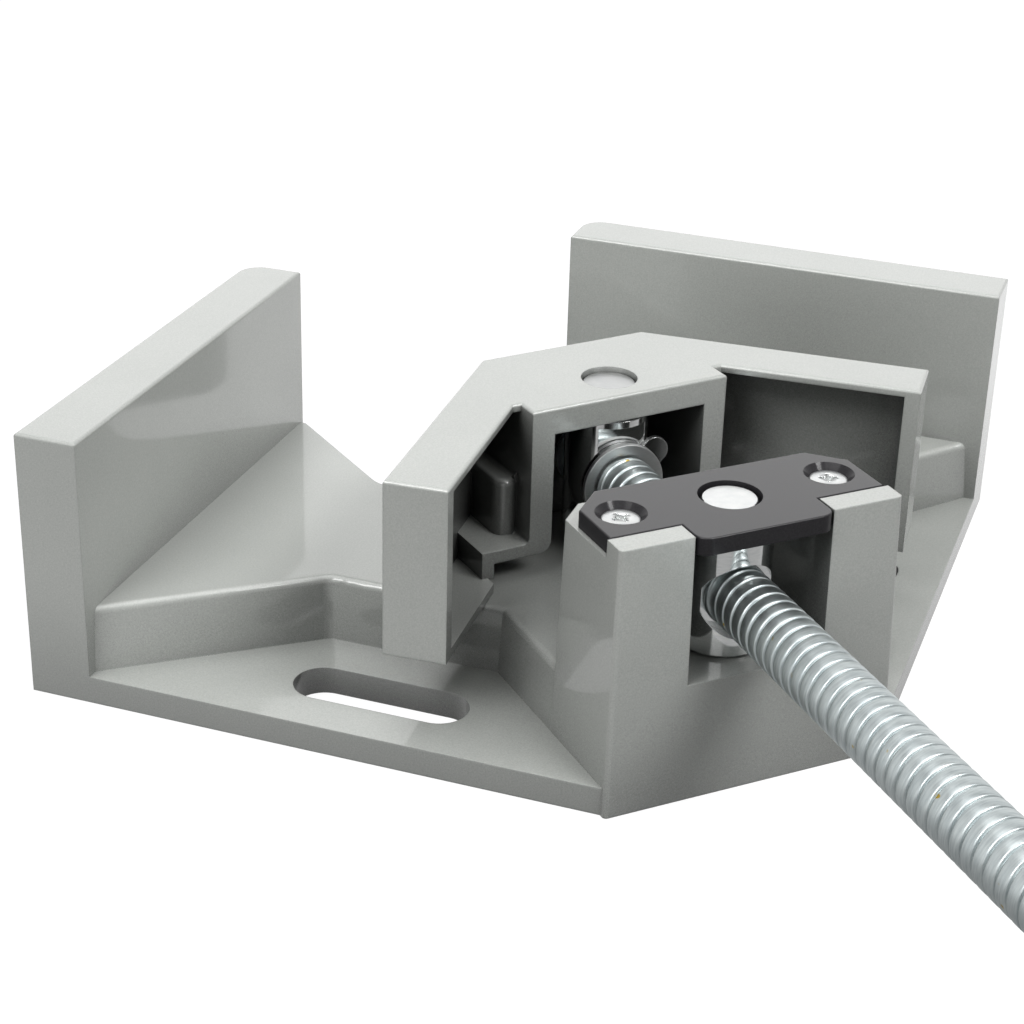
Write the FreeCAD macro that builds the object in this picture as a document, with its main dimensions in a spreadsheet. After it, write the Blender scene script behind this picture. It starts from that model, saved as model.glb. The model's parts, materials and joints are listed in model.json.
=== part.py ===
import FreeCAD, Part
import math
import os
import re
import Sketcher

# A single-spindle corner clamp: a die-cast base with two fences at a right angle, a swinging jaw
# pushed by a trapezoidal spindle, and a moulded handle. Millimetres, +Z up, underside at z = 0.
# The origin is under the vertical axis of the swivel nut. +Y runs from the handle to the open corner.

os.makedirs("parts", exist_ok=True)
doc = FreeCAD.newDocument("corner_clamp")

SIZES = {
    # Base: the fences
    "apex_y": 159.2,            # nut axis to the corner where the two fence faces would meet
    "fence_length": 96.0,
    "fence_start": 45.7,        # that corner to the far end of a fence, along its face
    "fence_thick": 12.3,
    "fence_height": 53.3,
    "fence_far_round": 5.0,
    "cast_round": 0.6,
    # Base: the bed, the flange and the open corner
    "bed_height": 18.5,
    "bed_set_back": 2.2,
    "bed_draft": 4.0,
    "bed_round": 1.4,
    "bend_round": 4.0,
    "flange_thick": 5.5,
    "flange_width": 30.6,
    "riser_bend": 35.6,
    "bridge_half": 29.0,
    "notch_back_half": 31.3,
    "notch_half": 28.0,
    "notch_end_y": 88.0,
    "notch_round": 7.0,
    "slot_width": 11.4,
    "slot_length": 34.5,
    "slot_from_edge": 14.6,
    "slot_inward": 52.8,
    # Base: the hollow underside
    "core_roof": 4.5,
    "core_wall": 4.0,
    "core_rib": 3.0,
    "core_rib_x": 61.0,
    # Base: the tower that holds the swivel nut
    "tower_half": 29.2,
    "tower_front": 13.5,
    "tower_back": 14.0,
    "tower_corner": 5.6,
    "tower_drop": 1.7,          # below the top of the fences
    "tower_draft": 1.5,
    "tower_round": 0.8,
    "ear_depth": 4.75,
    "ear_front": 12.1,
    "channel_half": 13.7,
    "channel_floor": 23.2,
    # Cover plate and its screws
    "plate_thick": 3.3,
    "plate_half": 27.2,
    "plate_back": 10.3,
    "plate_corner": 5.8,
    "plate_fit": 0.25,
    "tongue_proud": 1.5,
    "tongue_round": 2.6,
    "cover_screw_x": 20.9,
    "cover_screw_y": 1.0,
    "cover_screw_shank": 2.0,
    "cover_screw_head": 3.5,
    "cover_screw_length": 14.0,
    "sink_radius": 4.6,
    "thread_clearance": 0.05,
    # Swivel nut
    "nut_radius": 8.35,
    "nut_journal": 5.2,
    "nut_hole_gap": 0.55,
    "nut_journal_drop": 0.6,
    "nut_foot_length": 8.0,
    "nut_mouth": 7.2,
    "nut_mouth_depth": 3.6,
    "end_play": 0.2,
    "running_gap": 0.06,
    # Spindle
    "spindle_share": 0.6454,    # of the fences' height
    "spindle_radius": 6.0,
    "spindle_chamfer": 0.8,
    "nose_radius": 4.0,
    "nose_end": 10.6,
    "ring_groove": 3.4,
    "ring_thick": 1.0,
    "thread_outside": 116.0,
    "shank_radius": 5.0,
    "shank_length": 48.0,
    # Trunnion and washers
    "trunnion_radius": 8.2,
    "trunnion_flat": 6.6,
    "trunnion_bottom": 22.0,
    "trunnion_journal": 5.25,
    "trunnion_drop": 1.0,
    "thrust_washer_radius": 10.6,
    "plain_washer_radius": 9.15,
    "rear_washer_radius": 7.4,
    "washer_thick": 1.1,
    "ring_radius": 6.0,
    # Jaw
    "nut_to_pin": 50.9,
    "jaw_tip": 18.1,
    "jaw_face": 58.1,
    "wing_width": 12.0,
    "jaw_lift": 0.3,
    "jaw_wall": 2.2,
    "jaw_end_wall": 3.0,
    "jaw_roof": 5.3,
    "jaw_lip": 1.5,
    "jaw_web": 1.8,
    "box_half": 21.4,
    "box_front": 8.6,
    "box_wall": 4.8,
    "pocket_y": 3.9,
    "shelf_half": 31.5,
    "shelf_top": 26.0,
    "shelf_thick": 2.6,
    "foot_lift": 1.4,
    "foot_wall": 2.6,
    "knee_round": 2.4,
    "shelf_root": 1.2,
    "post_radius": 2.6,
    "post_x": 23.1,
    "post_y": 1.0,
    "post_top": 37.6,
    "pin_hole_gap": 0.2,
    # Handle, measured along the spindle from its front collar
    "handle_length": 104.0,
    "collar_radius": 9.0,
    "collar_length": 17.0,
    "core_seat": 11.4,
    "core_end_radius": 15.0,
    "grip_start": 19.0,
    "grip_length": 70.0,
    "grip_radius": 16.0,
    "grip_waist": 13.4,
    "grip_fit": 0.05,
    "flute_radius": 5.0,
    "flute_count": 6.0,
    "flute_depth": 1.2,
    "cap_radius": 9.0,
    "cap_depth": 4.0,
    "pin_radius": 1.5,
    "pin_place": 9.0,
    # How the moving parts stand: degrees about +Z
    "spindle_yaw": -2.9,
    "jaw_yaw": 3.2,
}

WORKED_OUT = {
    "tower_height": "=fence_height - tower_drop",
    "spindle_height": "=fence_height * spindle_share",
}

sheet = doc.addObject("Spreadsheet::Sheet", "Sizes")
for row, (alias, size) in enumerate({**SIZES, **WORKED_OUT}.items(), start=1):
    sheet.set(f"A{row}", alias)
    sheet.set(f"B{row}", str(size))
    sheet.setAlias(f"B{row}", alias)
doc.recompute()


def bound(text):
    """An expression with each size's alias pointed at the sheet."""
    return re.sub(r"\b([a-z]+(?:_[a-z]+)+)\b", r"Sizes.\1", text)


def value(text):
    """The number that an expression of the sheet's sizes gives now."""
    return float(sheet.evalExpression(text))


def bind(item, **expressions):
    for name, text in expressions.items():
        item.setExpression(name, bound(text))


def new_body(label):
    body = doc.addObject("PartDesign::Body", label)
    body.Label = label
    return body


def new_sketch(body, name, role, height=None):
    """A sketch on one of the body's own origin planes, lifted along its normal."""
    sketch = body.newObject("Sketcher::SketchObject", name)
    plane = next(item for item in body.Origin.OriginFeatures if item.Role == role)
    sketch.AttachmentSupport = [(plane, "")]
    sketch.MapMode = "FlatFace"
    if height is not None:
        sketch.setExpression("AttachmentOffset.Base.z", bound(height))
    return sketch


def fix_point(sketch, edge, corner, x, y):
    for kind, text in (("DistanceX", x), ("DistanceY", y)):
        rule = Sketcher.Constraint(kind, -1, 1, edge, corner, value(text))
        index = sketch.addConstraint(rule)
        sketch.setExpression(f"Constraints[{index}]", bound(text))


def polygon(sketch, points):
    """A closed outline whose corners are bound to expressions of the sizes."""
    places = [FreeCAD.Vector(value(x), value(y), 0) for x, y in points]
    first = sketch.GeometryCount
    count = len(places)
    for i in range(count):
        sketch.addGeometry(Part.LineSegment(places[i], places[(i + 1) % count]))
    for i in range(count):
        following = first + (i + 1) % count
        sketch.addConstraint(Sketcher.Constraint("Coincident", first + i, 2, following, 1))
    for i, (x, y) in enumerate(points):
        fix_point(sketch, first + i, 1, x, y)


def circle(sketch, x, y, radius):
    centre = FreeCAD.Vector(value(x), value(y), 0)
    edge = sketch.addGeometry(Part.Circle(centre, FreeCAD.Vector(0, 0, 1), value(radius)))
    index = sketch.addConstraint(Sketcher.Constraint("Radius", edge, value(radius)))
    sketch.setExpression(f"Constraints[{index}]", bound(radius))
    fix_point(sketch, edge, 3, x, y)


def pad(body, sketch, length, taper=None):
    feature = body.newObject("PartDesign::Pad", sketch.Name + "_pad")
    feature.Profile = sketch
    bind(feature, Length=length)
    if taper is not None:
        bind(feature, TaperAngle=taper)
    return feature


def pocket(body, sketch, length, upward=True, both_ways=False):
    """Cuts the outline, towards +normal of the sketch when upward."""
    feature = body.newObject("PartDesign::Pocket", sketch.Name + "_cut")
    feature.Profile = sketch
    bind(feature, Length=length)
    feature.Reversed = upward
    feature.Midplane = both_ways
    return feature


def turned(body, name, profile, cut=False):
    """A profile of (radius, height) corners turned about the body's Z axis."""
    sketch = new_sketch(body, name, "XZ_Plane")
    polygon(sketch, profile)
    kind = "PartDesign::Groove" if cut else "PartDesign::Revolution"
    feature = body.newObject(kind, name + "_turn")
    feature.Profile = sketch
    feature.ReferenceAxis = (sketch, ["V_Axis"])
    feature.Angle = 360
    return feature


def chosen_edges(shape, test):
    return [f"Edge{i}" for i, edge in enumerate(shape.Edges, start=1) if test(edge)]


def fillet(body, name, radius, test):
    """Rounds the edges of the body's tip that pass the test."""
    doc.recompute()
    tip = body.Tip
    names = chosen_edges(tip.Shape, test)
    if not names:
        raise ValueError(f"{name} finds no edge")
    feature = body.newObject("PartDesign::Fillet", name)
    feature.Base = (tip, names)
    bind(feature, Radius=radius)
    return feature


def is_upright(edge):
    box = edge.BoundBox
    narrow = max(box.XLength, box.YLength) < 0.9
    return narrow and box.ZLength > 0.5 and edge.Length < box.ZLength * 1.05


def runs_back(edge, x, z):
    """A straight edge along Y at a distance x either side of the middle and at height z."""
    box = edge.BoundBox
    straight = box.XLength < 0.01 and box.ZLength < 0.01
    middle = edge.CenterOfMass
    return straight and abs(abs(middle.x) - x) < 0.01 and abs(middle.z - z) < 0.01


def level_at(edge, height):
    box = edge.BoundBox
    return abs(box.ZMin - height) < 0.01 and abs(box.ZMax - height) < 0.01


def both_sides(half):
    """The half outline on the -X side, then its mirror image back to the start."""
    mirrored = [(f"-({x})", y) for x, y in reversed(half)]
    return half + mirrored


def mirror(points):
    return [(f"-({x})", y) for x, y in points]


def by_fence(along, inward):
    """A place by the left fence: distance along its face from the corner, and inward from it."""
    return (f"cos(45deg) * ({inward} - ({along}))", f"apex_y - cos(45deg) * ({along} + {inward})")


FENCE_END = "(fence_start + fence_length)"
OPEN_CORNER = [
    ("-notch_back_half", "apex_y - 2 * cos(45deg) * fence_start + notch_back_half"),
    ("-notch_half", "notch_end_y"),
]


def flange_outline():
    front = ("apex_y + ear_front - 2 * cos(45deg) * (fence_start + fence_length)", "-ear_front")
    return both_sides([
        front,
        by_fence(FENCE_END, "-fence_thick"),
        by_fence("fence_start", "-fence_thick"),
        *OPEN_CORNER,
    ])


def bed_outline():
    riser = f"({FENCE_END} - flange_width)"
    start = f"({FENCE_END} - bed_set_back)"
    return both_sides([
        ("-bridge_half", "0"),
        ("-bridge_half", f"apex_y - 2 * cos(45deg) * {riser} + bridge_half"),
        by_fence(riser, "riser_bend"),
        by_fence(start, "0"),
        by_fence(start, "-fence_thick / 2"),
        by_fence("fence_start", "-fence_thick / 2"),
        *OPEN_CORNER,
    ])


def fence_outline():
    return [
        by_fence("fence_start", "0"),
        by_fence(FENCE_END, "0"),
        by_fence(FENCE_END, "-fence_thick"),
        by_fence("fence_start", "-fence_thick"),
    ]


def tower_outline():
    return both_sides([
        ("-tower_half", "-tower_front"),
        ("-tower_half", "tower_back - tower_corner"),
        ("-tower_half + tower_corner", "tower_back"),
    ])


def slot_cut(body):
    """The two fixing slots: a straight run and two round ends each."""
    middle = f"({FENCE_END} - slot_from_edge)"
    half_run = "(slot_length - slot_width) / 2"
    run = new_sketch(body, "slot_run", "XY_Plane")
    ring = [
        by_fence(f"({middle} - slot_width / 2)", f"(slot_inward - {half_run})"),
        by_fence(f"({middle} + slot_width / 2)", f"(slot_inward - {half_run})"),
        by_fence(f"({middle} + slot_width / 2)", f"(slot_inward + {half_run})"),
        by_fence(f"({middle} - slot_width / 2)", f"(slot_inward + {half_run})"),
    ]
    polygon(run, ring)
    polygon(run, mirror(ring))
    pocket(body, run, "2 * flange_thick")
    for name, sign in (("slot_outer_end", "-"), ("slot_inner_end", "+")):
        ends = new_sketch(body, name, "XY_Plane")
        x, y = by_fence(middle, f"(slot_inward {sign} {half_run})")
        circle(ends, x, y, "slot_width / 2")
        circle(ends, f"-({x})", y, "slot_width / 2")
        pocket(body, ends, "2 * flange_thick")


def underside_cores(body):
    """The casting's hollow underside: cells between ribs under the bed."""
    riser = f"({FENCE_END} - flange_width)"
    wall = "core_wall"
    fence_line = f"(apex_y - {wall} / cos(45deg))"
    riser_line = f"(apex_y - 2 * cos(45deg) * {riser} + {wall} / cos(45deg))"
    bend_x = f"(cos(45deg) * ({riser} - riser_bend))"
    low_y = f"(apex_y - cos(45deg) * ({riser} + riser_bend) + {wall} + core_rib)"
    outer = [
        ("-(core_rib_x + core_rib / 2)", low_y),
        ("-(core_rib_x + core_rib / 2)", f"{fence_line} - core_rib_x - core_rib / 2"),
        (f"-({fence_line} - {low_y})", low_y),
    ]
    middle = [
        ("-(core_rib_x - core_rib / 2)", low_y),
        (f"-({bend_x} - {wall})", low_y),
        ("-(bridge_half + core_rib)", f"{riser_line} + bridge_half + core_rib"),
        ("-(bridge_half + core_rib)", f"{fence_line} - bridge_half - core_rib"),
        ("-(core_rib_x - core_rib / 2)", f"{fence_line} - core_rib_x + core_rib / 2"),
    ]
    cells = new_sketch(body, "underside_cells", "XY_Plane")
    for cell in (outer, middle):
        polygon(cells, cell)
        polygon(cells, mirror(cell))
    half = "(notch_half - core_rib)"
    cross = "(notch_end_y + tower_back) / 2 + core_wall"
    front = "(tower_back + core_wall)"
    back = "(notch_end_y - core_wall)"
    for low, high in ((front, f"({cross} - core_rib / 2)"), (f"({cross} + core_rib / 2)", back)):
        cell = [("-core_rib / 2", low), (f"-{half}", low), (f"-{half}", high), ("-core_rib / 2", high)]
        polygon(cells, cell)
        polygon(cells, mirror(cell))
    pocket(body, cells, "bed_height - core_roof")


def base_casting():
    body = new_body("base_casting")
    flange = new_sketch(body, "flange", "XY_Plane")
    polygon(flange, flange_outline())
    pad(body, flange, "flange_thick")
    bed = new_sketch(body, "bed", "XY_Plane", "flange_thick")
    polygon(bed, bed_outline())
    pad(body, bed, "bed_height - flange_thick", "-bed_draft")
    fences = new_sketch(body, "fences", "XY_Plane")
    polygon(fences, fence_outline())
    polygon(fences, mirror(fence_outline()))
    pad(body, fences, "fence_height")
    tower = new_sketch(body, "tower", "XY_Plane")
    polygon(tower, tower_outline())
    pad(body, tower, "tower_height", "-tower_draft")

    seat = new_sketch(body, "plate_seat", "XY_Plane", "tower_height - plate_thick")
    ears_back = "-ear_front + ear_depth"
    polygon(seat, both_sides([("-tower_half", ears_back), ("-tower_half", "tower_back + plate_corner")]))
    pocket(body, seat, "2 * plate_thick")

    channel = new_sketch(body, "nut_channel", "XZ_Plane")
    polygon(channel, both_sides([("-channel_half", "channel_floor"), ("-channel_half", "2 * tower_height")]))
    pocket(body, channel, "4 * tower_back", both_ways=True)

    foot = new_sketch(body, "nut_foot_hole", "XY_Plane", "channel_floor")
    circle(foot, "0", "0", "nut_journal + running_gap")
    pocket(body, foot, "nut_foot_length + end_play", upward=False)

    taps = new_sketch(body, "cover_screw_holes", "XY_Plane", "tower_height - plate_thick")
    for side in ("-", ""):
        circle(taps, f"{side}cover_screw_x", "cover_screw_y", "cover_screw_shank + thread_clearance")
    pocket(body, taps, "cover_screw_length", upward=False)

    slot_cut(body)
    underside_cores(body)

    front = value("tower_front")
    fillet(body, "tower_front_rounds", "tower_round",
           lambda e: e.BoundBox.ZLength > 20 and -front < e.CenterOfMass.y < 2 - front
           and abs(e.CenterOfMass.x) > value("tower_half") - 2)
    far_corner = value("apex_y - cos(45deg) * (fence_start - fence_thick)")
    fillet(body, "fence_far_rounds", "fence_far_round",
           lambda e: is_upright(e) and abs(e.CenterOfMass.y - far_corner) < 0.1)
    notch_end = value("notch_end_y")
    fillet(body, "notch_rounds", "notch_round",
           lambda e: e.BoundBox.ZLength > 4 and abs(e.CenterOfMass.y - notch_end) < 1.2
           and abs(e.CenterOfMass.x) > value("notch_half") - 1.5)
    bed = value("bed_height")
    riser_start = value(by_fence(f"({FENCE_END} - bed_set_back)", "0")[1])
    fillet(body, "bend_rounds", "bend_round",
           lambda e: is_upright(e) and abs(e.BoundBox.ZMax - bed) < 0.02
           and 20 < e.CenterOfMass.y < riser_start - 4)
    fillet(body, "bed_rounds", "bed_round",
           lambda e: level_at(e, bed) and e.BoundBox.YMax < riser_start + 0.5
           and abs(e.CenterOfMass.x) > value("bridge_half") - 1 and e.CenterOfMass.y > value("tower_back"))
    top = value("fence_height")
    fillet(body, "fence_top_rounds", "cast_round", lambda e: level_at(e, top))
    return body


def cover_plate():
    body = new_body("cover_plate")
    plate = new_sketch(body, "plate", "XY_Plane", "tower_height - plate_thick")
    front = "(ear_front - ear_depth - plate_fit)"
    polygon(plate, both_sides([
        ("-(channel_half - plate_fit)", "-(ear_front + tongue_proud)"),
        ("-(channel_half - plate_fit)", f"-{front}"),
        ("-plate_half", f"-{front}"),
        ("-plate_half", "plate_back - plate_corner"),
        ("-plate_half + plate_corner", "plate_back"),
    ]))
    pad(body, plate, "plate_thick")
    hole = new_sketch(body, "nut_hole", "XY_Plane")
    circle(hole, "0", "0", "nut_journal + nut_hole_gap")
    for side in ("-", ""):
        circle(hole, f"{side}cover_screw_x", "cover_screw_y", "cover_screw_shank + 4 * thread_clearance")
    pocket(body, hole, "2 * tower_height")
    for name, side in (("sink_left", "-"), ("sink_right", "")):
        sketch = new_sketch(body, name, "XZ_Plane")
        sketch.setExpression("AttachmentOffset.Base.x", bound(f"{side}cover_screw_x"))
        sketch.setExpression("AttachmentOffset.Base.z", bound("-cover_screw_y"))
        polygon(sketch, [
            ("0", "tower_height"),
            ("sink_radius", "tower_height"),
            ("0", "tower_height - sink_radius"),
        ])
        groove = body.newObject("PartDesign::Groove", name + "_cut")
        groove.Profile = sketch
        groove.ReferenceAxis = (sketch, ["V_Axis"])
        groove.Angle = 360
    corner_y = value("-(ear_front + tongue_proud)")
    fillet(body, "tongue_corners", "tongue_round",
           lambda e: is_upright(e) and abs(e.CenterOfMass.y - corner_y) < 0.1)
    top = value("tower_height")
    sink_y = value("cover_screw_y")
    hole_length = 2 * math.pi * value("nut_journal + nut_hole_gap")
    fillet(body, "top_rounds", "cast_round * 0.5",
           lambda e: level_at(e, top) and abs(e.CenterOfMass.y - sink_y) > 0.3
           and abs(e.Length - hole_length) > 1)
    return body


def cover_screws():
    """Two countersunk screws; the one on the -X side is the mirror image of the other."""
    screw = doc.addObject("PartDesign::Body", "cover_screw")
    head_top = "(tower_height - (sink_radius - cover_screw_head))"
    turned(screw, "screw_profile", [
        ("0", f"{head_top} - cover_screw_length"),
        ("cover_screw_shank - 0.5", f"{head_top} - cover_screw_length"),
        ("cover_screw_shank", f"{head_top} - cover_screw_length + 0.5"),
        ("cover_screw_shank", f"{head_top} - cover_screw_head + cover_screw_shank + thread_clearance"),
        ("cover_screw_head - thread_clearance", f"{head_top}"),
        ("cover_screw_head - 4 * thread_clearance", f"{head_top} + 0.2"),
        ("0", f"{head_top} + 0.2"),
    ])
    screw.setExpression("Placement.Base.x", bound("cover_screw_x"))
    screw.setExpression("Placement.Base.y", bound("cover_screw_y"))
    twin = doc.addObject("Part::Mirroring", "cover_screw_twin")
    twin.Source = screw
    twin.Normal = FreeCAD.Vector(1, 0, 0)
    pair = doc.addObject("Part::Compound", "cover_screws")
    pair.Links = [screw, twin]
    pair.Label = "cover_screws"
    return pair


def cross_bore(body, name, radius, start, length):
    """A bore along the body's Y axis at the spindle's height, from start towards -Y."""
    sketch = new_sketch(body, name, "XZ_Plane", start)
    circle(sketch, "0", "spindle_height", radius)
    return pocket(body, sketch, length)


def swivel_nut():
    body = new_body("swivel_nut")
    top = "(tower_height - plate_thick - end_play)"
    bottom = "(channel_floor + end_play)"
    turned(body, "nut_profile", [
        ("0", "channel_floor - nut_foot_length"),
        ("nut_journal", "channel_floor - nut_foot_length"),
        ("nut_journal", bottom),
        ("nut_radius - 0.5", bottom),
        ("nut_radius", f"{bottom} + 0.5"),
        ("nut_radius", f"{top} - 0.5"),
        ("nut_radius - 0.5", top),
        ("nut_journal", top),
        ("nut_journal", "tower_height - nut_journal_drop - 0.4"),
        ("nut_journal - 0.4", "tower_height - nut_journal_drop"),
        ("0", "tower_height - nut_journal_drop"),
    ])
    cross_bore(body, "thread_bore", "spindle_radius + running_gap", "-2 * nut_radius", "4 * nut_radius")
    cross_bore(body, "front_mouth", "nut_mouth", "nut_radius - nut_mouth_depth", "2 * nut_radius")
    cross_bore(body, "rear_mouth", "nut_mouth", "-2 * nut_radius", "nut_radius + nut_mouth_depth")
    body.Placement = FreeCAD.Placement(FreeCAD.Vector(), FreeCAD.Rotation(value("spindle_yaw"), 0, 0))
    return body


def pin_place():
    """Where the jaw's pivot stands, along the swivelled spindle from the nut."""
    yaw = FreeCAD.Rotation(value("spindle_yaw"), 0, 0)
    return yaw.multVec(FreeCAD.Vector(0, value("nut_to_pin"), 0))


def trunnion():
    body = new_body("trunnion")
    top = "(fence_height - jaw_roof - end_play)"
    turned(body, "trunnion_profile", [
        ("0", "trunnion_bottom"),
        ("trunnion_radius - 0.6", "trunnion_bottom"),
        ("trunnion_radius", "trunnion_bottom + 0.6"),
        ("trunnion_radius", f"{top} - 0.5"),
        ("trunnion_radius - 0.5", top),
        ("trunnion_journal", top),
        ("trunnion_journal", "fence_height - trunnion_drop - 0.3"),
        ("trunnion_journal - 0.3", "fence_height - trunnion_drop"),
        ("0", "fence_height - trunnion_drop"),
    ])
    cross_bore(body, "nose_bore", "nose_radius + running_gap", "-2 * trunnion_radius", "4 * trunnion_radius")
    flats = new_sketch(body, "washer_flats", "XY_Plane")
    low, high = "trunnion_flat", "2 * trunnion_radius"
    for near, distant in ((f"-{low}", f"-{high}"), (low, high)):
        polygon(flats, [(f"-{high}", near), (high, near), (high, distant), (f"-{high}", distant)])
    flats.setExpression("AttachmentOffset.Base.z", bound("spindle_height - thrust_washer_radius - 1"))
    pocket(body, flats, "2 * thrust_washer_radius + 2")
    body.Placement = FreeCAD.Placement(pin_place(), FreeCAD.Rotation(value("spindle_yaw"), 0, 0))
    return body


def along_spindle(item):
    """Turns an item made along its own Z onto the spindle, from the pivot towards the handle."""
    upright = FreeCAD.Rotation(FreeCAD.Vector(1, 0, 0), 90)
    yaw = FreeCAD.Rotation(value("spindle_yaw"), 0, 0)
    place = pin_place() + FreeCAD.Vector(0, 0, value("spindle_height"))
    item.Placement = FreeCAD.Placement(place, yaw.multiply(upright))


SHOULDER = "(trunnion_flat + 2 * washer_thick + 3 * thread_clearance)"
THREAD_END = "(nut_to_pin + thread_outside)"
RING_FACE = "(trunnion_flat + washer_thick + 2 * thread_clearance)"


def spindle():
    """Distances from the pivot towards the handle are positive."""
    body = new_body("spindle")
    groove_end = f"({RING_FACE} + ring_thick + 2 * thread_clearance)"
    turned(body, "spindle_profile", [
        ("0", "-nose_end"),
        ("nose_radius - 0.4", "-nose_end"),
        ("nose_radius", "-nose_end + 0.4"),
        ("nose_radius", f"-{groove_end}"),
        ("ring_groove", f"-{groove_end}"),
        ("ring_groove", f"-{RING_FACE}"),
        ("nose_radius", f"-{RING_FACE}"),
        ("nose_radius", SHOULDER),
        ("spindle_radius - spindle_chamfer", SHOULDER),
        ("spindle_radius", f"{SHOULDER} + spindle_chamfer"),
        ("spindle_radius", f"{THREAD_END} - spindle_chamfer"),
        ("spindle_radius - spindle_chamfer", THREAD_END),
        ("shank_radius", THREAD_END),
        ("shank_radius", f"{THREAD_END} + shank_length - 1"),
        ("shank_radius - 1", f"{THREAD_END} + shank_length"),
        ("0", f"{THREAD_END} + shank_length"),
    ])
    hole = new_sketch(body, "pin_hole", "XZ_Plane")
    circle(hole, "0", f"{THREAD_END} + pin_place", "pin_radius")
    pocket(body, hole, "4 * spindle_radius", both_ways=True)
    along_spindle(body)
    return body


def flat_ring(label, inner, outer, start, thick):
    """A flat washer across the spindle, its low face at start."""
    body = new_body(label)
    turned(body, label + "_profile", [
        (inner, start),
        (outer, start),
        (outer, f"{start} + {thick}"),
        (inner, f"{start} + {thick}"),
    ])
    along_spindle(body)
    return body


def washers():
    bore = "nose_radius + thread_clearance"
    thrust = flat_ring("thrust_washer", bore, "thrust_washer_radius",
                       "trunnion_flat + thread_clearance", "washer_thick")
    plain = flat_ring("plain_washer", bore, "plain_washer_radius",
                      "trunnion_flat + washer_thick + 2 * thread_clearance", "washer_thick")
    rear = flat_ring("rear_washer", bore, "rear_washer_radius",
                     "-trunnion_flat - thread_clearance - washer_thick", "washer_thick")
    return [thrust, plain, rear]


def retaining_ring():
    """A snap ring with an open side, in the groove behind the rear washer."""
    body = flat_ring("retaining_ring", "ring_groove + thread_clearance", "ring_radius",
                     f"-({RING_FACE} + thread_clearance + ring_thick)", "ring_thick")
    gap = new_sketch(body, "ring_gap", "XZ_Plane")
    polygon(gap, [
        ("0", "-nose_end - ring_radius"),
        ("2 * ring_radius", "-nose_end - ring_radius"),
        ("2 * ring_radius", "0"),
        ("0", "0"),
    ])
    pocket(body, gap, "ring_groove", both_ways=True)
    return body


JAW_BOTTOM = "(bed_height + jaw_lift)"
WING_X = "(jaw_tip + jaw_face * cos(45deg))"
WING_Y = "(jaw_tip - jaw_face * cos(45deg))"
WING_STEP = "(wing_width * cos(45deg))"
WALL_LINE = "(2 * jaw_tip - jaw_wall / cos(45deg))"
END_LINE = f"({WING_X} - {WING_Y} - jaw_end_wall / cos(45deg))"


def jaw_outline():
    inner_line = f"({WING_X} + {WING_Y} - 2 * {WING_STEP})"
    return both_sides([
        ("-box_half", "-box_front"),
        ("-box_half", "-pocket_y"),
        (f"-({inner_line} + pocket_y)", "-pocket_y"),
        (f"-({WING_X} - {WING_STEP})", f"{WING_Y} - {WING_STEP}"),
        (f"-{WING_X}", WING_Y),
        ("-jaw_tip", "jaw_tip"),
    ])


def wing_webs(body):
    """The flat webs along the bottom of the wings, from the shelf's feet to the end walls."""
    inner = f"({WING_X} + {WING_Y} - 2 * {WING_STEP})"
    wall = f"({WALL_LINE} + jaw_wall / 2)"
    end = f"({END_LINE} + jaw_end_wall / 2)"
    foot = "(shelf_half - foot_wall / 2)"
    webs = new_sketch(body, "wing_webs", "XY_Plane", JAW_BOTTOM)
    ring = [
        (f"-{foot}", f"{inner} - {foot}"),
        (f"-({inner} + {end}) / 2", f"({inner} - {end}) / 2"),
        (f"-({wall} + {end}) / 2", f"({wall} - {end}) / 2"),
        (f"-{foot}", f"{wall} - {foot}"),
    ]
    polygon(webs, ring)
    polygon(webs, mirror(ring))
    pad(body, webs, "jaw_web")


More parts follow.
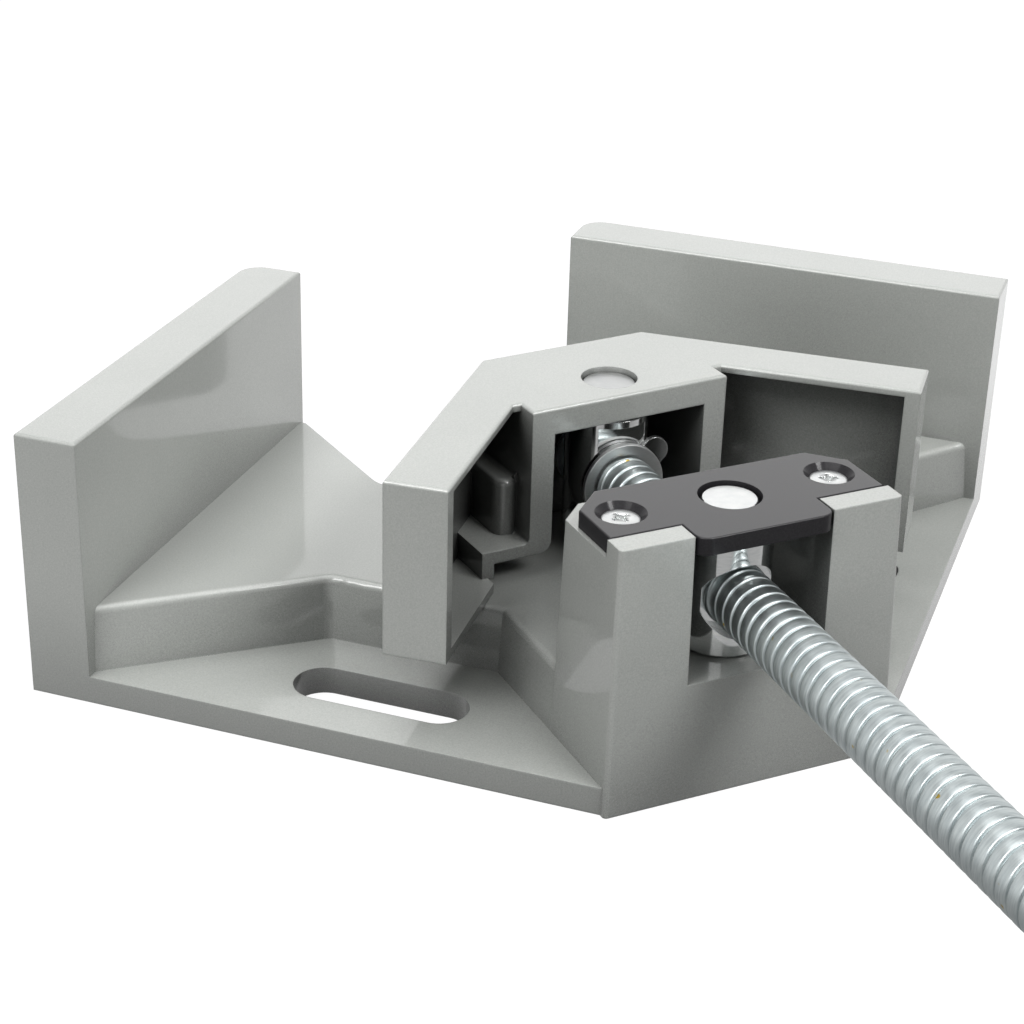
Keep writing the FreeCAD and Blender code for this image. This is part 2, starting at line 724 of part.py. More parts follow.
def jaw_casting():
    body = new_body("jaw_casting")
    outline = new_sketch(body, "jaw", "XY_Plane", JAW_BOTTOM)
    polygon(outline, jaw_outline())
    pad(body, outline, f"fence_height - {JAW_BOTTOM}")

    pockets = new_sketch(body, "wing_pockets", "XY_Plane", JAW_BOTTOM)
    pocket_ring = [
        ("-box_half", f"{WALL_LINE} - box_half"),
        (f"-({WALL_LINE} + {END_LINE}) / 2", f"({WALL_LINE} - {END_LINE}) / 2"),
        (f"-(({WALL_LINE} + {END_LINE}) / 2 - wing_width)", f"({WALL_LINE} - {END_LINE}) / 2 - wing_width"),
        ("-box_half", "-box_front - 1"),
    ]
    polygon(pockets, pocket_ring)
    polygon(pockets, mirror(pocket_ring))
    pocket(body, pockets, f"fence_height - jaw_lip - {JAW_BOTTOM}")

    shelf = new_sketch(body, "shelf", "XY_Plane", f"({JAW_BOTTOM} + foot_lift)")
    polygon(shelf, both_sides([
        ("-shelf_half", "-box_front"),
        ("-shelf_half", f"{WALL_LINE} - shelf_half + jaw_wall / 2"),
        ("-jaw_tip", f"{WALL_LINE} - jaw_tip + jaw_wall / 2"),
    ]))
    pad(body, shelf, f"shelf_top - foot_lift - {JAW_BOTTOM}")

    channel = new_sketch(body, "foot_channel", "XY_Plane", JAW_BOTTOM)
    inner = "(shelf_half - foot_wall)"
    cavity = "(box_half - box_wall)"
    polygon(channel, both_sides([
        (f"-{inner}", "-box_front - 1"),
        (f"-{inner}", f"{WALL_LINE} - {inner}"),
        (f"-{cavity}", "jaw_tip - 4"),
    ]))
    pocket(body, channel, f"shelf_top - shelf_thick - {JAW_BOTTOM}")

    box = new_sketch(body, "centre_cavity", "XY_Plane", JAW_BOTTOM)
    polygon(box, both_sides([(f"-{cavity}", "-box_front - 1"), (f"-{cavity}", "jaw_tip - 4")]))
    pocket(body, box, f"fence_height - jaw_roof - {JAW_BOTTOM}")

    hole = new_sketch(body, "pivot_hole", "XY_Plane", JAW_BOTTOM)
    circle(hole, "0", "0", "trunnion_journal + pin_hole_gap")
    pocket(body, hole, "2 * fence_height")

    height = "post_top - shelf_top + shelf_thick / 2"
    noses = new_sketch(body, "post_noses", "XY_Plane", "shelf_top - shelf_thick / 2")
    for side in ("-", ""):
        circle(noses, f"{side}post_x", "-post_y", "post_radius")
    pad(body, noses, height)
    ribs = new_sketch(body, "post_ribs", "XY_Plane", "shelf_top - shelf_thick / 2")
    rib = [
        ("-(post_x - post_radius)", "-post_y"),
        ("-(post_x + post_radius)", "-post_y"),
        ("-(post_x + post_radius)", f"{WALL_LINE} - post_x - post_radius + jaw_wall / 2"),
        ("-(post_x - post_radius)", f"{WALL_LINE} - post_x + post_radius + jaw_wall / 2"),
    ]
    polygon(ribs, rib)
    polygon(ribs, mirror(rib))
    pad(body, ribs, height)

    knee = (value("box_half - box_wall"), value("shelf_top - shelf_thick"))
    fillet(body, "shelf_knees", "knee_round", lambda e: runs_back(e, *knee))
    root = (value("box_half"), value("shelf_top"))
    fillet(body, "shelf_roots", "shelf_root", lambda e: runs_back(e, *root))
    post_top = value("post_top")
    fillet(body, "post_rounds", "post_radius * 0.5", lambda e: level_at(e, post_top))
    wing_webs(body)
    top = value("fence_height")
    hole_length = 2 * math.pi * value("trunnion_journal + pin_hole_gap")
    fillet(body, "jaw_top_rounds", "cast_round",
           lambda e: level_at(e, top) and abs(e.Length - hole_length) > 1)
    body.Placement = FreeCAD.Placement(pin_place(), FreeCAD.Rotation(value("jaw_yaw"), 0, 0))
    return body


HANDLE_START = f"({THREAD_END} + thread_clearance)"


def handle_core():
    """The hard core: a collar, a seat for the grip and a domed end."""
    body = new_body("handle_core")
    end = f"({HANDLE_START} + handle_length)"
    seat_start = f"({HANDLE_START} + grip_start)"
    seat_end = f"({seat_start} + grip_length)"
    turned(body, "core_profile", [
        ("0", f"{HANDLE_START} + shank_length"),
        ("shank_radius + thread_clearance", f"{HANDLE_START} + shank_length"),
        ("shank_radius + thread_clearance", HANDLE_START),
        ("collar_radius - 1", HANDLE_START),
        ("collar_radius", f"{HANDLE_START} + 1"),
        ("collar_radius", f"{HANDLE_START} + collar_length - 4"),
        ("core_seat + 1.6", f"{seat_start} - 0.5"),
        ("core_seat + 1.6", seat_start),
        ("core_seat", seat_start),
        ("core_seat", seat_end),
        ("core_end_radius", seat_end),
        ("core_end_radius + 0.6", f"{seat_end} + 4"),
        ("core_end_radius - 1", f"{end} - 4"),
        ("core_end_radius - 4", end),
        ("cap_radius + grip_fit", end),
        ("cap_radius + grip_fit", f"{end} - cap_depth"),
        ("0", f"{end} - cap_depth"),
    ])
    hole = new_sketch(body, "core_pin_hole", "XZ_Plane")
    circle(hole, "0", f"{THREAD_END} + pin_place", "pin_radius")
    pocket(body, hole, "4 * collar_radius", both_ways=True)
    along_spindle(body)
    return body


def handle_grip():
    """The soft sleeve on the core's seat, waisted, with finger flutes along it."""
    body = new_body("handle_grip")
    start = f"({HANDLE_START} + grip_start + grip_fit)"
    length = "(grip_length - 2 * grip_fit)"
    bore = "core_seat + grip_fit"
    turned(body, "grip_profile", [
        (bore, start),
        ("grip_waist - 0.6", start),
        ("grip_waist", f"{start} + {length} * 0.06"),
        ("grip_radius - 0.5", f"{start} + {length} * 0.30"),
        ("grip_radius", f"{start} + {length} * 0.42"),
        ("grip_radius - 0.3", f"{start} + {length} * 0.55"),
        ("grip_waist + 0.8", f"{start} + {length} * 0.84"),
        ("core_end_radius", f"{start} + {length}"),
        (bore, f"{start} + {length}"),
    ])
    sketch = new_sketch(body, "flute", "XY_Plane", f"{start} + {length} * 0.12")
    circle(sketch, "grip_radius + flute_radius - flute_depth", "0", "flute_radius")
    flute = pocket(body, sketch, f"{length} * 0.66")
    ring = body.newObject("PartDesign::PolarPattern", "flutes")
    ring.Originals = [flute]
    ring.Axis = (sketch, ["N_Axis"])
    ring.Angle = 360
    ring.Occurrences = round(value("flute_count"))
    body.Tip = ring
    along_spindle(body)
    return body


def handle_end_cap():
    body = new_body("handle_end_cap")
    end = f"({HANDLE_START} + handle_length)"
    turned(body, "cap_profile", [
        ("0", f"{end} - cap_depth + grip_fit"),
        ("cap_radius", f"{end} - cap_depth + grip_fit"),
        ("cap_radius", f"{end} - 0.3"),
        ("cap_radius * 0.7", f"{end} + 0.4"),
        ("0", f"{end} + 0.8"),
    ])
    along_spindle(body)
    return body


def handle_pin():
    """The cross pin that locks the handle's collar to the spindle."""
    pin = doc.addObject("Part::Cylinder", "handle_pin")
    pin.Label = "handle_pin"
    bind(pin, Radius="pin_radius - thread_clearance / 2", Height="2 * collar_radius - 0.4")
    yaw = FreeCAD.Rotation(value("spindle_yaw"), 0, 0)
    along = value(f"{THREAD_END} + pin_place")
    middle = pin_place() + yaw.multVec(FreeCAD.Vector(0, -along, 0))
    middle.z = value("spindle_height - collar_radius + 0.2")
    pin.Placement = FreeCAD.Placement(middle, yaw)
    return pin


subparts = [
    base_casting(),
    cover_plate(),
    cover_screws(),
    swivel_nut(),
    trunnion(),
    spindle(),
    *washers(),
    retaining_ring(),
    jaw_casting(),
    handle_core(),
    handle_grip(),
    handle_end_cap(),
    handle_pin(),
]
doc.recompute()

for item in doc.Objects:
    if "Invalid" in item.State or "Error" in item.State:
        raise ValueError(f"{item.Name} failed: {item.State}")
for item in subparts:
    if item.Shape.isNull() or not item.Shape.isValid():
        raise ValueError(f"{item.Label} has no sound shape")
for item in subparts:
    item.Shape.exportStep(f"parts/{item.Label}.step")
    print(item.Label, len(item.Shape.Solids), round(item.Shape.Volume / 1000, 2), "cm3")
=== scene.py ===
import json
import math

import bmesh
import bpy
from mathutils import Matrix, Vector


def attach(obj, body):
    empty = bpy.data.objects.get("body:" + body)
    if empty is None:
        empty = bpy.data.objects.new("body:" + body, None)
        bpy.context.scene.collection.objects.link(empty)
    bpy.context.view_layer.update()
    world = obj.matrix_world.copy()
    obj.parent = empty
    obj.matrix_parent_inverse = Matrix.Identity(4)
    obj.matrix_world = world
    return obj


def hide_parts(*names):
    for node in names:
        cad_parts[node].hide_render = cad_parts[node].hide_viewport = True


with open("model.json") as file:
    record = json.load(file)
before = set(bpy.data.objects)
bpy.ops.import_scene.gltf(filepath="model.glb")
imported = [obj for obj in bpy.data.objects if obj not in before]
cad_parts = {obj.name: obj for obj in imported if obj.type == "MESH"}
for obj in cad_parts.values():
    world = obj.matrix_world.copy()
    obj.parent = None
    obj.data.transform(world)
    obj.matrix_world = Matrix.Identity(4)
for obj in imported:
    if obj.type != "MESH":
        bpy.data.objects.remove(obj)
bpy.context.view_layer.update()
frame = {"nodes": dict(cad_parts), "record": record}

# The frame's places, in metres, and the yaw of the spindle about +Z.
SPINDLE_YAW = math.radians(-2.9)
SPINDLE_HEIGHT = 0.0344
NUT_TO_PIN = 0.0509
PIN = Matrix.Rotation(SPINDLE_YAW, 4, "Z") @ Vector((0, NUT_TO_PIN, 0))
# From the spindle's own frame, +Z from the jaw's pin towards the handle, to the row frame.
SPINDLE = (
    Matrix.Translation(PIN + Vector((0, 0, SPINDLE_HEIGHT)))
    @ Matrix.Rotation(SPINDLE_YAW, 4, "Z")
    @ Matrix.Rotation(math.radians(90), 4, "X")
)


# ---- node trees ----


class Tree:
    """A short way to wire a node tree."""

    def __init__(self, tree):
        self.tree = tree

    def add(self, kind, **settings):
        node = self.tree.nodes.new(kind)
        for name, value in settings.items():
            setattr(node, name, value)
        return node

    def link(self, source, target):
        self.tree.links.new(source, target)

    def math(self, operation, first, second):
        """A maths node; first and second are outputs or numbers."""
        node = self.add("ShaderNodeMath", operation=operation)
        for socket, given in zip(node.inputs, (first, second)):
            if isinstance(given, (int, float)):
                socket.default_value = given
            else:
                self.link(given, socket)
        return node.outputs[0]

    def mapped(self, value, old, new):
        """The value, with the range old moved onto new and held between its ends."""
        node = self.add("ShaderNodeMapRange")
        names = ("From Min", "From Max", "To Min", "To Max")
        for name, number in zip(names, (*old, *new)):
            node.inputs[name].default_value = number
        self.link(value, node.inputs["Value"])
        return node.outputs["Result"]

    def axis(self, vector, name):
        split = self.add("ShaderNodeSeparateXYZ")
        self.link(vector, split.inputs[0])
        return split.outputs[name]

    def white_for(self, mirrored):
        """1 for camera and transmission rays, the output mirrored for glossy rays, and otherwise 0."""
        path = self.add("ShaderNodeLightPath").outputs
        direct = self.math("MAXIMUM", path["Is Camera Ray"], path["Is Transmission Ray"])
        return self.math("MAXIMUM", direct, self.math("MULTIPLY", path["Is Glossy Ray"], mirrored))


class Surface(Tree):
    """A material's nodes, round the principled shader that it starts with."""

    INPUTS = {
        "specular": "Specular IOR Level",
        "coat": "Coat Weight",
    }

    def __init__(self, name):
        self.material = bpy.data.materials.new(name)
        self.material.use_nodes = True
        super().__init__(self.material.node_tree)
        self.shader = self.tree.nodes["Principled BSDF"]
        self.place = self.add("ShaderNodeTexCoord").outputs["Object"]

    def fixed(self, **values):
        for name, value in values.items():
            self.socket(name).default_value = value

    def drive(self, **sources):
        for name, source in sources.items():
            self.link(source, self.socket(name))

    def socket(self, name):
        return self.shader.inputs[self.INPUTS.get(name, name.replace("_", " ").title())]

    def noise(self, scale, detail=3.0, stretch=None):
        """Noise in metres; stretch scales it along the spindle's right, its line and +Z."""
        node = self.add("ShaderNodeTexNoise")
        node.inputs["Scale"].default_value = scale
        node.inputs["Detail"].default_value = detail
        node.inputs["Roughness"].default_value = 0.55
        place = self.place
        if stretch is not None:
            mapping = self.add("ShaderNodeMapping")
            mapping.inputs["Rotation"].default_value = (0, 0, -SPINDLE_YAW)
            mapping.inputs["Scale"].default_value = stretch
            self.link(place, mapping.inputs["Vector"])
            place = mapping.outputs["Vector"]
        self.link(place, node.inputs["Vector"])
        return node.outputs["Fac"]

    def ramp(self, factor, *stops):
        """A colour from (position, colour) stops."""
        node = self.add("ShaderNodeValToRGB")
        elements = node.color_ramp.elements
        while len(elements) < len(stops):
            elements.new(0.5)
        for element, (position, colour) in zip(elements, stops):
            element.position = position
            element.color = (*colour, 1)
        self.link(factor, node.inputs["Fac"])
        return node.outputs["Color"]

    def spread(self, factor, low, high):
        return self.mapped(factor, (0, 1), (low, high))

    def upward(self, most=1.0):
        """0 on upright faces, most on faces that look up."""
        normal = self.add("ShaderNodeNewGeometry").outputs["Normal"]
        return self.mapped(self.axis(normal, "Z"), (0.6, 0.95), (0, most))

    def openness(self, reach, closed, free, left):
        """From left where the surface is closed in within reach, in metres, to 1 where it is free."""
        shade = self.add("ShaderNodeAmbientOcclusion", samples=4, only_local=False)
        shade.inputs["Distance"].default_value = reach
        return self.mapped(shade.outputs["AO"], (closed, free), (left, 1))

    def painted_hollow_shade(self, colour, reach, left):
        """The colour with painted shade: darker in hollows and low down near the floor, down to a share
        left of itself, and less so on faces that look up.
        """
        upright_share = self.openness(reach, 0.16, 0.72, left)
        shade = self.add("ShaderNodeMix")
        self.link(self.upward(), shade.inputs["Factor"])
        self.link(upright_share, shade.inputs["A"])
        self.link(self.mapped(upright_share, (0, 0.85), (0.45, 1)), shade.inputs["B"])
        scaled = self.add("ShaderNodeVectorMath", operation="SCALE")
        self.link(colour, scaled.inputs[0])
        self.link(shade.outputs["Result"], scaled.inputs["Scale"])
        return scaled.outputs["Vector"]

    def relief(self, *layers, edge=0.0):
        """Bumps from (height, distance) layers, over edges rounded by a radius, all in metres."""
        normal = None
        if edge:
            bevel = self.add("ShaderNodeBevel", samples=4)
            bevel.inputs["Radius"].default_value = edge
            normal = bevel.outputs["Normal"]
        for height, distance in layers:
            bump = self.add("ShaderNodeBump")
            bump.inputs["Strength"].default_value = 1.0
            bump.inputs["Distance"].default_value = distance
            self.link(height, bump.inputs["Height"])
            if normal is not None:
                self.link(normal, bump.inputs["Normal"])
            normal = bump.outputs["Normal"]
        self.drive(normal=normal)


# ---- materials ----


def powder_coat():
    """Light grey paint with a fine metallic grain under a clear coat, as on the two castings."""
    n = Surface("powder_coat")
    grain = n.noise(3400, detail=2)
    cloud = n.noise(55)
    flow = n.noise(700)
    shade = n.math("ADD", n.spread(grain, -0.42, 0.42), n.spread(cloud, 0.40, 0.60))
    colour = n.ramp(shade, (0.30, (0.40, 0.415, 0.395)), (0.70, (0.50, 0.515, 0.49)))
    # The base colour carries painted shade, darker in hollows and low down near the floor.
    n.drive(base_color=n.painted_hollow_shade(colour, 0.055, 0.05), roughness=n.spread(flow, 0.36, 0.46))
    n.fixed(metallic=0.10, specular=0.4, coat=1.0, coat_roughness=0.07)
    n.relief((flow, 0.000010), (grain, 0.000005), edge=0.0005)
    return n.material


def black_cover():
    """Black lacquer, glossier on top than on the sides and in the screws' recesses."""
    n = Surface("black_cover")
    grain = n.noise(3800)
    colour = n.ramp(grain, (0.35, (0.010, 0.009, 0.011)), (0.65, (0.018, 0.017, 0.019)))
    coat = n.math("MULTIPLY", n.openness(0.004, 0.75, 0.97, 0.1), n.spread(n.upward(), 0.4, 1))
    n.drive(base_color=colour, roughness=n.spread(grain, 0.46, 0.60), coat=coat)
    n.fixed(specular=0.15, coat_roughness=0.10)
    n.relief((grain, 0.000008), edge=0.0003)
    return n.material


def zinc_plate():
    """Zinc-plated steel, bluish, with fine turning marks and a few yellowish specks."""
    n = Surface("zinc_plate")
    marks = n.noise(260, detail=5, stretch=(1, 9, 1))
    cloud = n.noise(420)
    specks = n.noise(330, detail=1)
    stained = n.add("ShaderNodeMix", data_type="RGBA")
    factor, plain, stain = (stained.inputs[i] for i in (0, 6, 7))
    n.link(n.ramp(specks, (0.735, (0, 0, 0)), (0.76, (1, 1, 1))), factor)
    n.link(n.ramp(marks, (0.32, (0.44, 0.49, 0.50)), (0.68, (0.62, 0.67, 0.67))), plain)
    stain.default_value = (0.45, 0.32, 0.06, 1)
    n.drive(base_color=stained.outputs[2], roughness=n.spread(cloud, 0.32, 0.46))
    n.fixed(metallic=1.0)
    n.relief((marks, 0.000012), (cloud, 0.000010))
    return n.material


def bright_plate(name, tone, rough, top_rough=0.30):
    """Bright plating, rougher by top_rough on faces that look up."""
    n = Surface(name)
    marks = n.noise(500, detail=4, stretch=(1, 1, 8))
    dark = (tone * 0.94, tone * 0.96, tone * 0.96)
    light = (tone * 1.06, tone * 1.07, tone * 1.06)
    roughness = n.math("ADD", n.spread(marks, *rough), n.upward(top_rough))
    n.drive(base_color=n.ramp(marks, (0.3, dark), (0.7, light)), roughness=roughness)
    n.fixed(metallic=1.0)
    n.relief((marks, 0.0000015), edge=0.0002)
    return n.material


def moulded_plastic():
    n = Surface("moulded_plastic")
    grain = n.noise(1500, detail=4)
    colour = n.ramp(grain, (0.3, (0.018, 0.018, 0.020)), (0.7, (0.032, 0.032, 0.034)))
    n.drive(base_color=colour, roughness=n.spread(grain, 0.34, 0.50))
    n.relief((grain, 0.000025), edge=0.0004)
    return n.material


def soft_grip():
    n = Surface("soft_grip")
    grain = n.noise(2600, detail=4)
    cloud = n.noise(90, detail=2)
    colour = n.ramp(cloud, (0.3, (0.075, 0.076, 0.080)), (0.7, (0.105, 0.106, 0.110)))
    n.drive(base_color=colour, roughness=n.spread(grain, 0.62, 0.80))
    n.relief((grain, 0.00006), edge=0.0004)
    return n.material


# By the slots of the record, and then by what some pieces wear instead.
MATERIALS = {
    "casting": powder_coat(),
    "cover": black_cover(),
    "zinc": zinc_plate(),
    "bright": bright_plate("bright_plate", 0.86, (0.06, 0.12)),
    "handle_hard": moulded_plastic(),
    "handle_soft": soft_grip(),
    "screw_head": bright_plate("screw_plate", 0.86, (0.22, 0.30), 0.10),
    "satin": bright_plate("satin_plate", 0.62, (0.07, 0.13), 0.28),
    "washer": bright_plate("washer_plate", 0.32, (0.08, 0.14)),
    "dull_washer": bright_plate("dull_plate", 0.50, (0.30, 0.42)),
}


def dress(piece, material):
    piece.data.materials.clear()
    piece.data.materials.append(MATERIALS[material])


for entry in frame["record"]["subparts"]:
    dress(frame["nodes"][entry["node"]], entry["material_slot"])
dress(frame["nodes"]["trunnion"], "satin")


# ---- meshes ----


def add_mesh(name, verts, faces, smooth=True):
    mesh = bpy.data.meshes.new(name)
    mesh.from_pydata(verts, [], faces)
    mesh.validate()
    if smooth:
        for polygon in mesh.polygons:
            polygon.use_smooth = True
    piece = bpy.data.objects.new(name, mesh)
    bpy.context.scene.collection.objects.link(piece)
    return piece


def on_circle(radius, turn, height):
    """A point at a radius, after a turn of 0 to 1 about +Z."""
    angle = 2 * math.pi * turn
    return radius * math.cos(angle), radius * math.sin(angle), height


def revolve(profile, segments=64):
    """Rings of a (radius, height) profile about +Z; a radius of 0 closes in one point."""
    verts, faces, rings = [], [], []
    for radius, height in profile:
        count = segments if radius > 0 else 1
        rings.append(range(len(verts), len(verts) + count))
        verts.extend(on_circle(radius, i / segments, height) for i in range(count))
    for low, high in zip(rings, rings[1:]):
        for i in range(segments):
            j = (i + 1) % segments
            corners = [low[i % len(low)], low[j % len(low)], high[j % len(high)], high[i % len(high)]]
            faces.append(list(dict.fromkeys(corners)))
    return verts, faces


def join_meshes(*parts):
    verts, faces = [], []
    for part_verts, part_faces in parts:
        start = len(verts)
        verts.extend(part_verts)
        faces.extend([[start + i for i in face] for face in part_faces])
    return verts, faces


def rework(piece, change):
    """The piece's mesh, changed as a bmesh."""
    mesh = bmesh.new()
    mesh.from_mesh(piece.data)
    change(mesh)
    mesh.to_mesh(piece.data)
    mesh.free()


def settle(piece, material, body, replaced=None):
    """Dressed in a material, and given to the body, in place of a CAD node if one is named."""
    dress(piece, material)
    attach(piece, body)
    if replaced:
        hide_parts(replaced)


# ---- spindle ----

PITCH = 0.003
THREAD_START = 0.0096
THREAD_END = 0.1661
# One pitch of the thread: how far along it, and the radius in millimetres.
THREAD_PROFILE = [
    (0.00, 5.36), (0.045, 5.40), (0.085, 5.80), (0.12, 5.93), (0.20, 5.97), (0.35, 5.99),
    (0.52, 5.99), (0.68, 5.98), (0.82, 5.96), (0.90, 5.92), (0.945, 5.76), (0.975, 5.40),
]
# Radius and distance from the pin, in metres, before and after the thread.
NOSE_PROFILE = [
    (0, -0.0106), (0.0036, -0.0106), (0.004, -0.0102), (0.004, -0.0088), (0.0034, -0.0088),
    (0.0034, -0.0078), (0.004, -0.0078), (0.004, 0.00895), (0.0052, 0.00895),
    (0.00536, 0.0094), (0.00536, 0.0102),
]
SHANK_PROFILE = [
    (0.00536, 0.1652), (0.00536, 0.1662), (0.0050, 0.1669), (0.0050, 0.2139), (0.0040, 0.2149),
    (0, 0.2149),
]
SAME_PLACE = 1e-7


def helical_thread(segments=56):
    """The thread's profile swept along its helix, and squared off at both ends."""
    steps = (math.ceil((THREAD_END - THREAD_START) / PITCH) + 1) * segments
    columns = len(THREAD_PROFILE)
    verts, faces = [], []
    for i in range(steps + 1):
        for share, radius in THREAD_PROFILE:
            along = THREAD_START + PITCH * (i / segments + share - 1)
            along = min(max(along, THREAD_START), THREAD_END)
            verts.append(on_circle(radius / 1000, i / segments, along))
    for i in range(steps):
        for j in range(columns):
            a, b = i * columns + j, (i + 1) * columns + j
            if j + 1 < columns:
                faces.append([a, b, b + 1, a + 1])
            elif i + segments + 1 <= steps:
                c = (i + segments) * columns
                faces.append([a, b, c + columns, c])

    def stands(face):
        heights = [verts[k][2] for k in face]
        return max(heights) - min(heights) > SAME_PLACE

    return verts, [face for face in faces if stands(face)]


def make_spindle():
    def weld(mesh):
        bmesh.ops.remove_doubles(mesh, verts=mesh.verts, dist=SAME_PLACE)
        bmesh.ops.recalc_face_normals(mesh, faces=mesh.faces)

    parts = helical_thread(), revolve(NOSE_PROFILE), revolve(SHANK_PROFILE)
    piece = add_mesh("threaded_spindle", *join_meshes(*parts))
    rework(piece, weld)
    piece.data.transform(SPINDLE)
    settle(piece, "zinc", "screw", "spindle")


# ---- washers ----

WASHER_BORE = 0.00405
WASHER_SEGMENTS = 120
WASHER_EDGE = 0.00015
# The thrust washer's tab: how far out its middle is, its radius, and its angle round the spindle.
TAB_DISTANCE = 0.0088
TAB_RADIUS = 0.0029
TAB_ANGLE = math.radians(40)


def tab_reach(angle):
    """How far the tab's rim is from the spindle's line at an angle, or 0 beside the tab."""
    ahead = TAB_DISTANCE * math.cos(angle - TAB_ANGLE)
    aside = TAB_DISTANCE * math.sin(angle - TAB_ANGLE)
    if ahead > 0 and abs(aside) < TAB_RADIUS:
        return ahead + math.sqrt(TAB_RADIUS ** 2 - aside ** 2)
    return 0


def make_washer(name, disc, low, high, tabbed=False):
    """A washer of radius disc that lies from low to high along the spindle."""

    def round_rims(mesh):
        bmesh.ops.recalc_face_normals(mesh, faces=mesh.faces)
        rims = [edge for edge in mesh.edges if edge.calc_face_angle() > 1.2]
        bmesh.ops.bevel(mesh, geom=rims, offset=WASHER_EDGE, segments=2, profile=0.5, affect="EDGES")

    verts, faces = [], []
    for i in range(WASHER_SEGMENTS):
        turn = i / WASHER_SEGMENTS
        reach = max(disc, tab_reach(2 * math.pi * turn)) if tabbed else disc
        for radius in (WASHER_BORE, reach):
            verts.extend(on_circle(radius, turn, height) for height in (low, high))
        a, b = 4 * i, 4 * ((i + 1) % WASHER_SEGMENTS)
        for near, far in ((0, 1), (1, 3), (3, 2), (2, 0)):
            faces.append([a + near, a + far, b + far, b + near])
    piece = add_mesh(name, verts, faces, smooth=False)
    rework(piece, round_rims)
    piece.data.transform(SPINDLE)
    return piece


def make_washers():
    """The plain washer, and behind it the thrust washer with a round tab that shows at its side."""
    plain = make_washer("plain_washer_seen", 0.0083, 0.0078, 0.0089)
    settle(plain, "dull_washer", "screw", "plain_washer")
    thrust = make_washer("tab_washer", 0.0081, 0.00665, 0.00775, tabbed=True)
    settle(thrust, "washer", "carrier", "thrust_washer")


# ---- cover screws ----

SCREW_X, SCREW_Y, SCREW_TOP = 0.0209, 0.001, 0.0505
# Radius and height from the head's rim, in metres.
SCREW_PROFILE = [
    (0, 0.00018), (0.0020, 0.00016), (0.0030, 0.00008), (0.00335, 0), (0.00345, -0.0001),
    (0.00200, -0.00145), (0.00200, -0.0127), (0.0015, -0.0133), (0, -0.0133),
]
# The recess's arms: length, width and height of their upper and their lower end.
ARM_ABOVE = (0.0038, 0.0008, 0.0006)
ARM_BELOW = (0.0016, 0.0005, -0.0021)


def cross_recess():
    """A tapered cross for the screwdriver, narrowing downwards to a point."""
    mesh = bmesh.new()
    for turn in (0, 90):
        made = bmesh.ops.create_cube(mesh, size=1)["verts"]
        for vert in made:
            length, width, height = ARM_ABOVE if vert.co.z > 0 else ARM_BELOW
            vert.co = (vert.co.x * length, vert.co.y * width, height)
        bmesh.ops.rotate(mesh, verts=made, matrix=Matrix.Rotation(math.radians(turn), 3, "Z"))
    middle = bmesh.ops.create_cone(
        mesh, cap_ends=True, segments=16, radius1=0.0004, radius2=0.0011, depth=0.0027)
    bmesh.ops.translate(mesh, verts=middle["verts"], vec=(0, 0, -0.00075))
    return mesh


def cut(piece, tool_mesh):
    data = bpy.data.meshes.new("tool")
    tool_mesh.to_mesh(data)
    tool_mesh.free()
    tool = bpy.data.objects.new("tool", data)
    bpy.context.scene.collection.objects.link(tool)
    knife = piece.modifiers.new("recess", "BOOLEAN")
    knife.operation = "DIFFERENCE"
    knife.solver = "EXACT"
    knife.use_self = True
    knife.object = tool
    with bpy.context.temp_override(object=piece, active_object=piece, selected_objects=[piece]):
        bpy.context.view_layer.objects.active = piece
        bpy.ops.object.modifier_apply(modifier="recess")
    bpy.data.objects.remove(tool)


def make_cover_screw(name, x, turn, replaced=None):
    """A countersunk screw, its cross recess turned by some degrees."""
    verts, faces = revolve(SCREW_PROFILE, 48)
    piece = add_mesh(name, verts, [face[::-1] for face in faces])
    cut(piece, cross_recess())
    place = Matrix.Translation((x, SCREW_Y, SCREW_TOP)) @ Matrix.Rotation(math.radians(turn), 4, "Z")
    piece.data.transform(place)
    settle(piece, "screw_head", "base", replaced)


make_spindle()
make_washers()
make_cover_screw("cover_screw_left", -SCREW_X, 12, "cover_screws")
make_cover_screw("cover_screw_right", SCREW_X, 68)


# ---- floor, light and camera ----

FLOOR_SIDE = 6.0
FLOOR_DROP = -0.0002
FLOOR_GLOW = 0.93
AMBIENT = 0.03
WHITE = (1, 1, 1, 1)
# Name, place, what it faces, size in metres and power in watts.
LAMPS = [
    ("overhead", (-0.1, 0.10, 0.95), (0, 0.04, 0), (0.9, 0.8), 4.7),
    ("back", (0.45, 1.15, 0.62), (0, 0.04, 0), (1.3, 0.7), 1.1),
    ("front_high", (0.35, -0.66, 0.90), (0, 0.04, 0.02), (0.6, 0.35), 8.8),
    ("left_high", (-0.80, -0.30, 0.85), (0, 0.04, 0.02), (0.5, 0.4), 6.2),
    ("left_front", (-0.75, -0.85, 0.40), (0, 0.04, 0.02), (0.7, 0.6), 1.4),
]
# Solved from the photograph: the focal length and side in its pixels, the place, and the columns
# right, up and back of the camera's turn.
PHOTO_SIDE = 1024
FOCAL_LENGTH = 2254.3
SENSOR_WIDTH = 36.0
CAMERA_PLACE = (-0.188635, -0.301528, 0.221797)
CAMERA_COLUMNS = (
    (0.904567, -0.425569, 0.025493),
    (0.168022, 0.410819, 0.896100),
    (-0.391826, -0.806299, 0.443119),
)


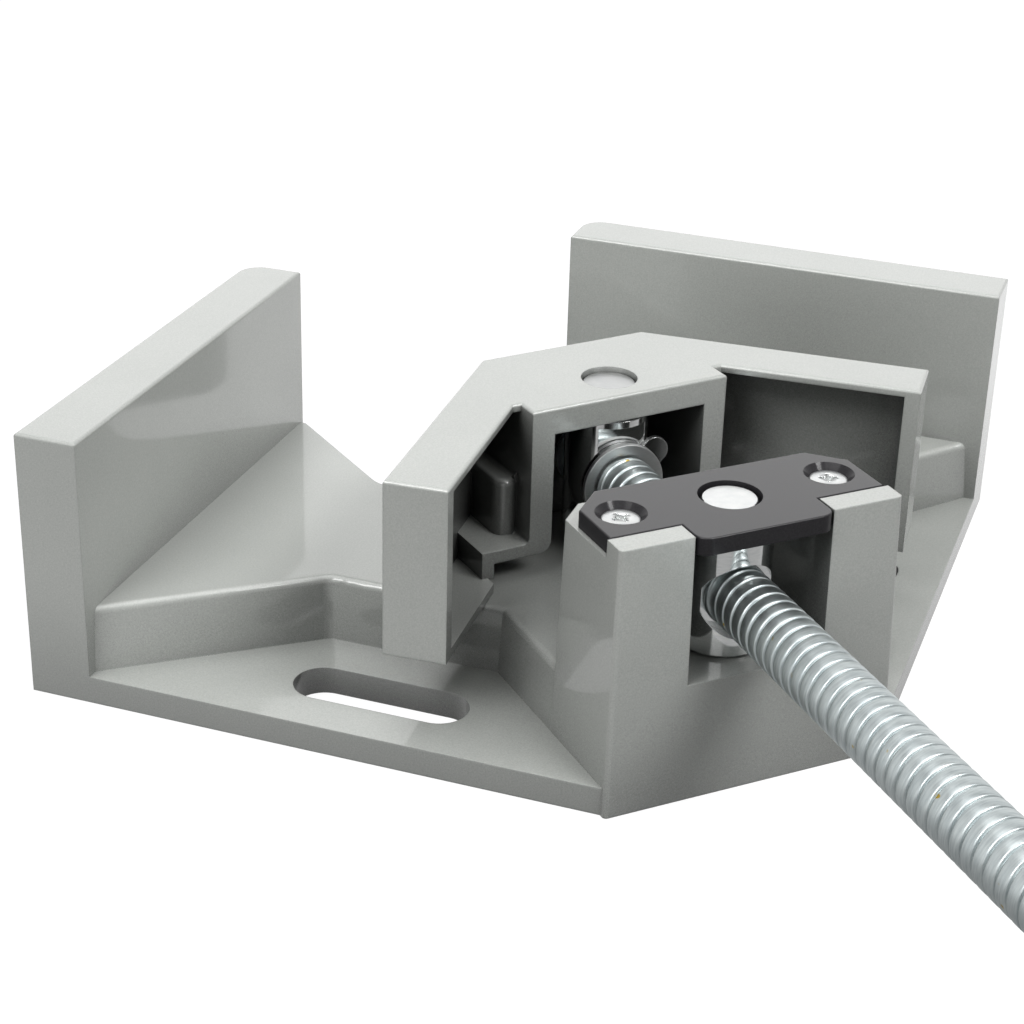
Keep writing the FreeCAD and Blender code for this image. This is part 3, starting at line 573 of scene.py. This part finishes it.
def add_floor():
    """Pale where it is looked at; in reflections it is dim in front of the object and white behind."""
    corners = [(-1, -1), (1, -1), (1, 1), (-1, 1)]
    verts = [(FLOOR_SIDE * x, FLOOR_SIDE * y, FLOOR_DROP) for x, y in corners]
    floor = add_mesh("floor", verts, [[0, 1, 2, 3]], smooth=False)
    n = Surface("floor")
    n.fixed(base_color=(0.12, 0.12, 0.12, 1), roughness=0.9, specular=0.1)
    glow = n.add("ShaderNodeEmission")
    glow.inputs["Color"].default_value = WHITE
    glow.inputs["Strength"].default_value = FLOOR_GLOW
    glowing = n.add("ShaderNodeAddShader")
    n.link(n.shader.outputs[0], glowing.inputs[0])
    n.link(glow.outputs[0], glowing.inputs[1])
    mirrored = n.mapped(n.axis(n.place, "Y"), (-0.06, 0.12), (0.25, 1))
    seen = n.add("ShaderNodeMixShader")
    n.link(n.white_for(mirrored), seen.inputs[0])
    n.link(n.shader.outputs[0], seen.inputs[1])
    n.link(glowing.outputs[0], seen.inputs[2])
    n.link(seen.outputs[0], n.tree.nodes["Material Output"].inputs["Surface"])
    floor.data.materials.append(n.material)


def add_world():
    """White where it is looked at; reflections see white walls, a dim ceiling and a dark front."""
    world = bpy.data.worlds.new("studio")
    bpy.context.scene.world = world
    world.use_nodes = True
    n = Tree(world.node_tree)
    way = n.add("ShaderNodeTexCoord").outputs["Generated"]
    ceiling = n.mapped(n.axis(way, "Z"), (0.35, 0.75), (1, 0.35))
    front = n.mapped(n.axis(way, "Y"), (-0.15, -0.7), (1, 0.25))
    shown = n.white_for(n.math("MULTIPLY", ceiling, front))
    back = n.tree.nodes["Background"]
    back.inputs["Color"].default_value = WHITE
    n.link(n.math("MAXIMUM", shown, AMBIENT), back.inputs["Strength"])


def add_lamp(name, place, target, size, power):
    lamp = bpy.data.lights.new(name, "AREA")
    lamp.shape = "RECTANGLE"
    lamp.size, lamp.size_y = size
    lamp.energy = power
    piece = bpy.data.objects.new(name, lamp)
    piece.location = place
    piece.rotation_euler = (Vector(target) - Vector(place)).to_track_quat("-Z", "Y").to_euler()
    bpy.context.scene.collection.objects.link(piece)


def add_camera():
    data = bpy.data.cameras.new("camera")
    data.sensor_width = SENSOR_WIDTH
    data.lens = FOCAL_LENGTH / PHOTO_SIDE * SENSOR_WIDTH
    data.clip_end = 50
    camera = bpy.data.objects.new("camera", data)
    camera.matrix_world = Matrix.Translation(CAMERA_PLACE) @ Matrix(CAMERA_COLUMNS).transposed().to_4x4()
    bpy.context.scene.collection.objects.link(camera)
    bpy.context.scene.camera = camera


add_floor()
add_world()
for lamp in LAMPS:
    add_lamp(*lamp)
add_camera()
bpy.context.scene.view_settings.view_transform = "Standard"
